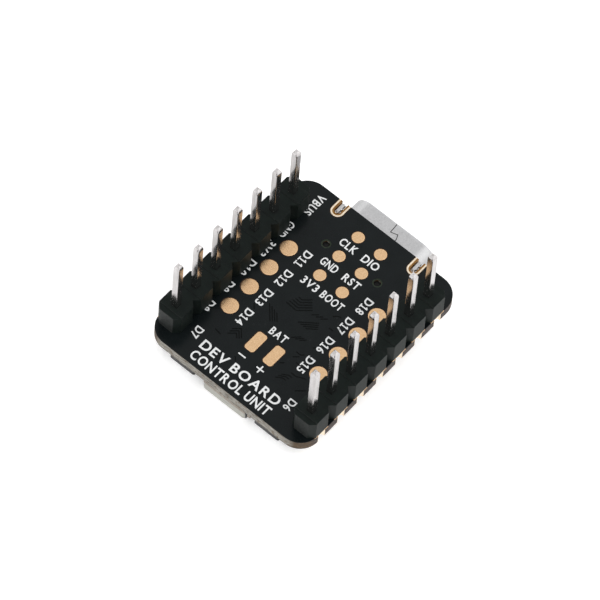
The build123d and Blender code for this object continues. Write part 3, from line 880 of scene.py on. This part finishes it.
def slot_solder():
    """Solder in the slots, heaped unevenly against the shell's front legs, and feet at the rear ones."""
    bm = bmesh.new()
    fill = slot_cut(SLOT_R - PLATING_T)
    fill_z, sunk, slump, swell = -0.24, 0.03, 0.04, 1.35
    for side in (-1, 1):
        x = side * SLOT_X
        outline = [(x + dx, HALF_Y + dy - slump * (dy > -0.01)) for dx, dy in fill]
        plate(bm, [outline], SOLDER_Z, fill_z, 0.06)
        for dx, dy, radius in SLOT_BEADS:
            turns = (0, pi / 6, pi / 3, pi / 2)
            dome = [(radius * cos(t), fill_z + swell * radius * sin(t)) for t in turns]
            profile = [(0, fill_z - sunk), (radius, fill_z - sunk)] + dome[:-1] + [(0, dome[-1][1])]
            lathe(bm, profile, x + side * dx, HALF_Y + dy, 20)
    for low, high in solids("usb_shell_solder"):
        if high.z < FACE_Z:
            fillet(bm, low, high, 0.12)
    finished("usb_shell_solder", bm, SOLDER)


def fillet(bm, low, high, reach):
    """Solder round a box, which slopes in a hollow curve down its sides to a foot wider by reach."""
    rings = []
    for share, spread in ((0.0, 1.0), (0.06, 0.95), (0.22, 0.45), (0.55, 0.12), (0.85, 0.0)):
        grow = reach * spread
        loop = around(low, high, 0.04 + grow / 2, 4, grow)
        rings.append(ring(bm, loop, high.z + share * (low.z - high.z)))
    skin(bm, rings)
    cap(bm, rings[:1])
    cap(bm, rings[-1:])


def solder_joints():
    """A concave cone of solder round each pin's tail, over the filled hole."""
    bm = bmesh.new()
    low_z = box("header_solder_joints")[0].z
    core_r, foot_r, neck_r, steps = 0.30, 0.80, 0.40, 8
    bore_r = DRILL_R - PLATING_T
    for spot in PINS.values():
        profile = [(core_r, -0.02), (bore_r, -0.02), (bore_r, SOLDER_Z), (foot_r, SOLDER_Z)]
        for i in range(1, steps + 1):
            share = i / steps
            radius = neck_r + (foot_r - neck_r) * (1 - share) ** 2.2
            profile.append((radius, SOLDER_Z + (low_z - SOLDER_Z) * share))
        lathe(bm, profile + [(core_r, low_z)], spot.x, spot.y, 40)
    finished("header_solder_joints", bm, SOLDER)


# ---- headers ----
def header_strip(name):
    """Seven joined octagonal cells with square pin holes and a break groove between them."""
    low, high = box(name)
    x, half = (low.x + high.x) / 2, (high.x - low.x) / 2
    notch, hole, groove, depth = 0.50, 0.33, 0.53, 0.12
    cell = [
        (-PITCH / 2, half - notch, depth),
        (notch - PITCH / 2, half, depth),
        (groove - PITCH / 2, half, depth),
        (groove - PITCH / 2 + 0.02, half, 0),
        (-hole, half, 0),
    ]
    cell += [(-y, width, sunk) for y, width, sunk in reversed(cell)]
    bm = bmesh.new()
    rows, holes = [], []
    for pin_y in PIN_YS:
        for dy, width, sunk in cell if not rows else cell[1:]:
            spots = [(x + dx, pin_y + dy, high.z - sunk) for dx in (-width, -hole, hole, width)]
            rows.append([bm.verts.new(spot) for spot in spots])
        holes.append(len(rows) - 6)
    for i, (near, far) in enumerate(zip(rows, rows[1:])):
        for column in range(3):
            if not (i in holes and column == 1):
                bm.faces.new((near[column], near[column + 1], far[column + 1], far[column]))
    lowered = bmesh.ops.extrude_face_region(bm, geom=bm.faces[:])
    for vert in lowered["geom"]:
        if isinstance(vert, bmesh.types.BMVert):
            vert.co.z = low.z
    bmesh.ops.recalc_face_normals(bm, faces=bm.faces)
    soften(bm, 0.05)
    finished(name, bm, HEADER_BLACK, weighted=True)


def header_pin(node):
    """A square pin with softened corners and rounded-pyramid ends."""
    low, high = box(node)
    x, y = (low.x + high.x) / 2, (low.y + high.y) / 2
    width, tip_width, tip_h, corner, guard = high.x - low.x, 0.14, 0.52, 0.06, 0.06
    steps = 7
    stations = [(low.z + tip_h * i / steps, 1 - i / steps) for i in range(steps + 1)]
    stations += [(low.z + tip_h + guard, 0), (high.z - tip_h - guard, 0)]
    stations += [(high.z - tip_h * (1 - i / steps), i / steps) for i in range(steps + 1)]
    bm = bmesh.new()
    rings = []
    for z, share in stations:
        side = tip_width + (width - tip_width) * (1 - share**2.2) ** 0.7
        rings.append(ring(bm, rounded(x, y, side, side, min(corner, side * 0.45), 3), z))
    skin(bm, rings)
    cap(bm, rings[:1], crisp=False)
    cap(bm, rings[-1:], crisp=False)
    finished(node, bm, TIN, weighted=True)


# ---- USB-C receptacle ----
SHELL_TOP_Z = FACE_Z - 0.05
KNEE_LEFT, KNEE_RIGHT = -0.1, 1.0
SEAM_GAP = 0.075
# The seam's bends from the mouth inwards: the row's y at the sides, the bend, the row's y at both knees.
SEAM = (
    (12.5, (0.0, 12.5), 12.5, 12.5),
    (11.6, (0.08, 11.43), 11.45, 11.8),
    (11.4, (0.74, 11.64), 11.3, 11.6),
    (11.1, (0.94, 11.2), 11.0, 11.2),
    (9.0, (0.94, 9.0), 9.0, 9.0),
)
SEAM_SIDES = line_sides([seam for _, seam, _, _ in SEAM], SEAM_GAP)[1]
SEAM_SIDES[0].y = 0.0


def seam_at(y):
    """Where the row that meets the shell's sides at y ends, left and right of the seam.

    Each end is the edge's x and y and then the row's y at the knee on that side.
    """
    rows = list(zip(SEAM, SEAM_SIDES))
    for ((y0, *from_row), from_side), ((y1, *to_row), to_side) in zip(rows, rows[1:]):
        if y >= y1:
            share = (y0 - y) / (y0 - y1)
            spot = Vector(from_row[0]).lerp(Vector(to_row[0]), share)
            side = from_side.lerp(to_side, share)
            knees = [a + (b - a) * share for a, b in zip(from_row[1:], to_row[1:])]
            return (*(spot - side), knees[0]), (*(spot + side), knees[1])
    x = SEAM[-1][1][0]
    return (x - SEAM_GAP / 2, y, y), (x + SEAM_GAP / 2, y, y)


def usb_shell():
    """The drawn shell: a closed sheet with a dovetail seam, spring windows and a round lip."""
    low, high = box("usb_shell")
    wall, lip = 0.30, 0.10
    radius = (SHELL_TOP_Z - low.z) / 2
    centre_z = low.z + radius
    flat = (high.x - low.x) / 2 - radius
    near_x, far_x, near_y, far_y = 1.25, 2.25, 8.0, 10.3  # the spring windows
    ys = [low.y, near_y, 9.0, far_y, 10.8, 11.1, 11.4, 11.6, 12.0]
    rows = [(y, 0.0) for y in ys]
    turns = (0, pi / 8, pi / 4, 3 * pi / 8, pi / 2)
    rows += [(high.y - lip * (1 - sin(t)), lip * (1 - cos(t))) for t in turns]
    bend = [radians(90 - 7.5 * i) for i in range(25)]
    bm = bmesh.new()
    outer, inner = [], []
    for y, shrink in rows:
        (left_x, left_y, left_knee), (right_x, right_y, right_knee) = seam_at(y)
        section = [(right_x, right_y, 0, 1), (KNEE_RIGHT, right_knee, 0, 1), (1.9, y, 0, 1)]
        section += [(flat, y, cos(t), sin(t)) for t in bend]
        section += [(x, y, 0, -1) for x in (far_x, near_x, -near_x, -far_x)]
        section += [(-flat, y, -cos(t), sin(t)) for t in reversed(bend)]
        section += [(-1.5, y, 0, 1), (KNEE_LEFT, left_knee, 0, 1), (left_x, left_y, 0, 1)]
        for sheet, reach in ((outer, radius - shrink), (inner, radius + shrink - wall)):
            spots = [(x + a * reach, at, centre_z + c * reach) for x, at, a, c in section]
            sheet.append([bm.verts.new(spot) for spot in spots])
    xs = [x if c == -1 else None for x, _, _, c in section]

    def solid(row, column):
        """Whether the sheet is there, and not a window or past an edge."""
        if not (0 <= row < len(rows) - 1 and 0 <= column < len(outer[0]) - 1):
            return False
        ends = (xs[column], xs[column + 1])
        if None in ends or not near_y <= rows[row][0] < far_y:
            return True
        return sorted(abs(x) for x in ends) != [near_x, far_x]

    for i in range(len(rows) - 1):
        for j in range(len(outer[0]) - 1):
            if not solid(i, j):
                continue
            bm.faces.new((outer[i][j], outer[i][j + 1], outer[i + 1][j + 1], outer[i + 1][j]))
            bm.faces.new((inner[i][j], inner[i + 1][j], inner[i + 1][j + 1], inner[i][j + 1]))
            sides = (
                (i - 1, j, (i, j), (i, j + 1)),
                (i + 1, j, (i + 1, j + 1), (i + 1, j)),
                (i, j - 1, (i + 1, j), (i, j)),
                (i, j + 1, (i, j + 1), (i + 1, j + 1)),
            )
            for row, column, (a, b), (c, d) in sides:
                if not solid(row, column):
                    bm.faces.new((outer[a][b], outer[c][d], inner[c][d], inner[a][b]))
    legs, leg_w = ((9.875, high.z), (6.25, SOLDER_Z)), 0.95
    for side in (-1, 1):
        for y, top in legs:
            plate(bm, [rounded(side * SLOT_X, y, wall, leg_w, 0.06, 3)], centre_z, top, 0.05)
        spring = (near_x + far_x) / 2 * side
        loop = rounded(spring, (near_y + far_y) / 2 - 0.1, 0.7, 2.0, 0.12, 4)
        plate(bm, [loop], low.z + 0.32, low.z + 0.12, 0.04)
    finished("usb_shell", bm, STEEL, weighted=True)
    # Painted shade: a black strip fills the seam's gap, standing for the dark seen through it.
    bm = bmesh.new()
    line = [(0.0, high.y - 0.15)] + [seam for _, seam, _, _ in SEAM[1:]]
    plate(bm, [stroke(line, 2 * SEAM_GAP)], SHELL_TOP_Z - wall + 0.02, SHELL_TOP_Z - 0.015)
    piece("usb_shell_seam_painted_shade", bm, PORT_BLACK)


# ---- components ----
def crystal():
    """A can with round edges on a base whose last terminal stands apart, past a gap filled with a dark
    block as painted shade.
    """
    low, high = box("crystal_lid")
    base_low, base_high = box("crystal_base")
    gap = 0.14
    bm = bmesh.new()
    block(bm, low, high, 0.35, 0.14)
    finished("crystal_lid", bm, CAN)
    bm = bmesh.new()
    block(bm, base_low, Vector((high.x, base_high.y, base_high.z)), 0.20, 0.03)
    terminal = Vector((high.x + gap, base_low.y + 0.05, base_low.z - 0.2))
    block(bm, terminal, base_high, 0.08, 0.05)
    finished("crystal_base", bm, CAN_BASE)
    # Painted shade: a black block fills the gap between the can and the last terminal.
    bm = bmesh.new()
    far = Vector((terminal.x, base_high.y - 0.1, base_high.z))
    block(bm, Vector((high.x, base_low.y + 0.02, low.z + 0.45)), far, 0.02, 0.02)
    piece("crystal_base_gap_painted_shade", bm, MOULD)


def button(name):
    """A body with a round well, a pierced steel cover, a snap dome and a stemmed plunger."""
    parts = [f"{name}_button_{part}" for part in ("body", "cover", "plunger", "dome")]
    body, cover, plunger, dome = parts
    (low, high), (cover_low, cover_high), (stem_low, stem_high), (dome_low, dome_high) = map(box, parts)
    x, y = middle((low, high)).xy
    well_r, hole_r, stem_r, flange_r, flange_t = 0.66, 0.50, 0.43, 0.60, 0.06
    tab_t, tab_w, dome_t, steps = 0.08, 0.8, 0.04, 10
    package(body, BUTTON_BLACK, 0.08, 3, 0.03, circle(x, y, well_r), dome_high.z - low.z)
    bm = bmesh.new()
    cover_w, cover_h = cover_high.x - cover_low.x, cover_high.y - cover_low.y
    outline = rounded(x, y, cover_w, cover_h, 0.12, 4)
    plate(bm, [outline, circle(x, y, hole_r)], low.z, cover_low.z, 0.03)
    for side in (-1, 1):
        tab = rounded(x + side * (cover_w - tab_t) / 2, y, tab_t, tab_w, 0.02, 2)
        plate(bm, [tab], cover_high.z, low.z - 0.02)
    finished(cover, bm, BUTTON_STEEL)
    profile = [(0, stem_low.z), (0.34, stem_low.z), (0.39, stem_low.z + 0.015), (stem_r, stem_low.z + 0.06)]
    flange_z = stem_high.z - flange_t
    profile += [(stem_r, flange_z), (flange_r, flange_z), (flange_r, stem_high.z), (0, stem_high.z)]
    bm = bmesh.new()
    lathe(bm, profile, x, y, 56)
    finished(plunger, bm, PLUNGER, f"{name}_plunger")
    reach, rise = (dome_high.x - dome_low.x) / 2, dome_high.z - dome_low.z
    outer = [(reach * i / steps, dome_low.z + rise * (i / steps) ** 2.2) for i in range(steps + 1)]
    inner = [(r * 0.96, min(z + dome_t, dome_high.z)) for r, z in reversed(outer[:-1])]
    bm = bmesh.new()
    lathe(bm, outer + inner, x, y)
    spring = finished(dome, bm, BUTTON_STEEL)
    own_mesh(spring)


def five_lead_parts():
    for name in ("charger", "regulator"):
        softened(f"{name}_package", MOULD, 0.03)
        softened(f"{name}_leads", LEAD, 0.02)


def mcu():
    low, high = box("mcu_package")
    dimple_in, dimple_r = 1.68, 0.42
    dimple = circle(low.x + dimple_in, high.y - dimple_in, dimple_r)
    package("mcu_package", MOULD, 0.06, 2, 0.025, dimple, 0.03)
    softened("mcu_leads", LEAD, 0.012)
    softened("flash_package", MOULD, 0.025)
    softened("flash_leads", LEAD, 0.012)


def passives():
    softened("capacitor_bodies", CERAMIC, 0.04)
    softened("capacitor_terminals", LEAD, 0.05)
    softened("resistor_bodies", RESISTOR, 0.02)
    softened("resistor_terminals", LEAD, 0.035)
    softened("inductor_core", FERRITE, 0.08)
    softened("inductor_terminals", LEAD, 0.06)
    bm = bmesh.new()
    for node in ("capacitor_terminals", "resistor_terminals", "inductor_terminals"):
        for low, high in solids(node):
            fillet(bm, low, high, 0.10)
    piece("chip_solder_fillets", bm, SOLDER)


def leds():
    centre = middle(box("rgb_led_body"))
    package("rgb_led_body", LED_WHITE, 0.08, 3, 0.03, circle(centre.x, centre.y, 0.80), 0.4)
    softened("rgb_led_lens", RESIN, 0.02)
    softened("indicator_led_bodies", LED_WHITE, 0.02)
    softened("indicator_led_lenses", RESIN, 0.04)


def port_inside():
    softened("usb_housing", PORT_BLACK, 0.03)
    softened("usb_mid_plate", STEEL, 0.02)
    softened("usb_contacts_board_side", CONTACT_GOLD, 0.015)
    softened("usb_contacts_outer_side", CONTACT_GOLD, 0.015)


# ---- studio ----
AZIMUTH, ELEVATION, ROLL = 35.944, 60.028, 5.556
DISTANCE, LENS, SENSOR = 590.8, 413.94, 36.0
AIM = Vector((-0.928, 0.541, 0.0))
FLOOR_GLOW = 0.30
BRIGHT_SIDE = Vector((0.84, 0.40, 0.27))


def camera():
    """A long lens at the photograph's angle. Returns the direction that flat faces reflect."""
    a, e, r = radians(AZIMUTH), radians(ELEVATION), radians(ROLL)
    back = Vector((sin(a) * cos(e), -cos(a) * cos(e), sin(e)))
    level = Vector((cos(a), sin(a), 0))
    upright = back.cross(level)
    right = level * cos(r) + upright * sin(r)
    up = upright * cos(r) - level * sin(r)
    data = bpy.data.cameras.new("camera")
    data.sensor_width = SENSOR
    data.lens = LENS
    data.clip_start, data.clip_end = 0.01, 20
    obj = scene_object("camera", data)
    turn = Matrix((right, up, back)).transposed().to_4x4()
    obj.matrix_world = Matrix.Translation((AIM + back * DISTANCE) * MM) @ turn
    bpy.context.scene.camera = obj
    return Vector((-back.x, -back.y, back.z))


def floor():
    """The surface that the board lies on: it touches the USB shell and the crystal."""
    shell, can = box("usb_shell")[0], box("crystal_lid")[0]
    slope = (shell.z - can.z) / (shell.y - can.y)
    width, corner = 1800.0, 100
    loop = rounded(0, shell.y, width, width, corner, 8)
    bm = bmesh.new()
    bm.faces.new([bm.verts.new((x, y, shell.z + slope * (y - shell.y))) for x, y in loop])
    paper = Finish("paper", specular=0.1)
    fibres = paper.noise(30)
    paper.colour(paper.mix(fibres, (246, 246, 246), (250, 250, 250)))
    paper.shader.inputs["Emission Color"].default_value = (1, 1, 1, 1)
    paper.shader.inputs["Emission Strength"].default_value = FLOOR_GLOW
    paper.see_through_from_behind()
    mesh_object("floor", bm, paper.material)


def sky(mirror):
    """White light all round, brighter on one side and dim where the board's face reflects it.

    A patch fades between two angles from its direction, and has a strength beyond and within.
    """
    world = bpy.data.worlds.new("studio")
    bpy.context.scene.world = world
    world.use_nodes = True
    tree = world.node_tree
    place = add(tree, "ShaderNodeTexCoord").outputs["Generated"]
    total = add(tree, "ShaderNodeMath")
    total.operation = "ADD"
    patches = ((mirror, 28, 8, 1.25, 0.75), (BRIGHT_SIDE, 60, 20, 0.0, 0.50))
    for i, (direction, outer, inner, beyond, within) in enumerate(patches):
        towards = add(tree, "ShaderNodeVectorMath", Vector=place)
        towards.operation = "DOT_PRODUCT"
        towards.inputs[1].default_value = direction
        start, stop = cos(radians(outer)), cos(radians(inner))
        fade = map_range(tree, towards.outputs["Value"], start, stop, beyond, within)
        fade.interpolation_type = "SMOOTHSTEP"
        tree.links.new(fade.outputs["Result"], total.inputs[i])
    background = tree.nodes["Background"]
    background.inputs["Color"].default_value = (1, 1, 1, 1)
    tree.links.new(total.outputs["Value"], background.inputs["Strength"])


def main():
    laminate()
    masks()
    silkscreen()
    header_side_pads()
    pin_pads()
    slot_plating()
    slot_solder()
    solder_joints()
    for side in ("left", "right"):
        header_strip(f"{side}_header_insulator")
    for node in PIN_NODES:
        header_pin(node)
    usb_shell()
    port_inside()
    crystal()
    button("boot")
    button("reset")
    mcu()
    five_lead_parts()
    passives()
    leds()
    mirror = camera()
    floor()
    sky(mirror)
    bpy.context.scene.view_settings.view_transform = "Standard"


main()
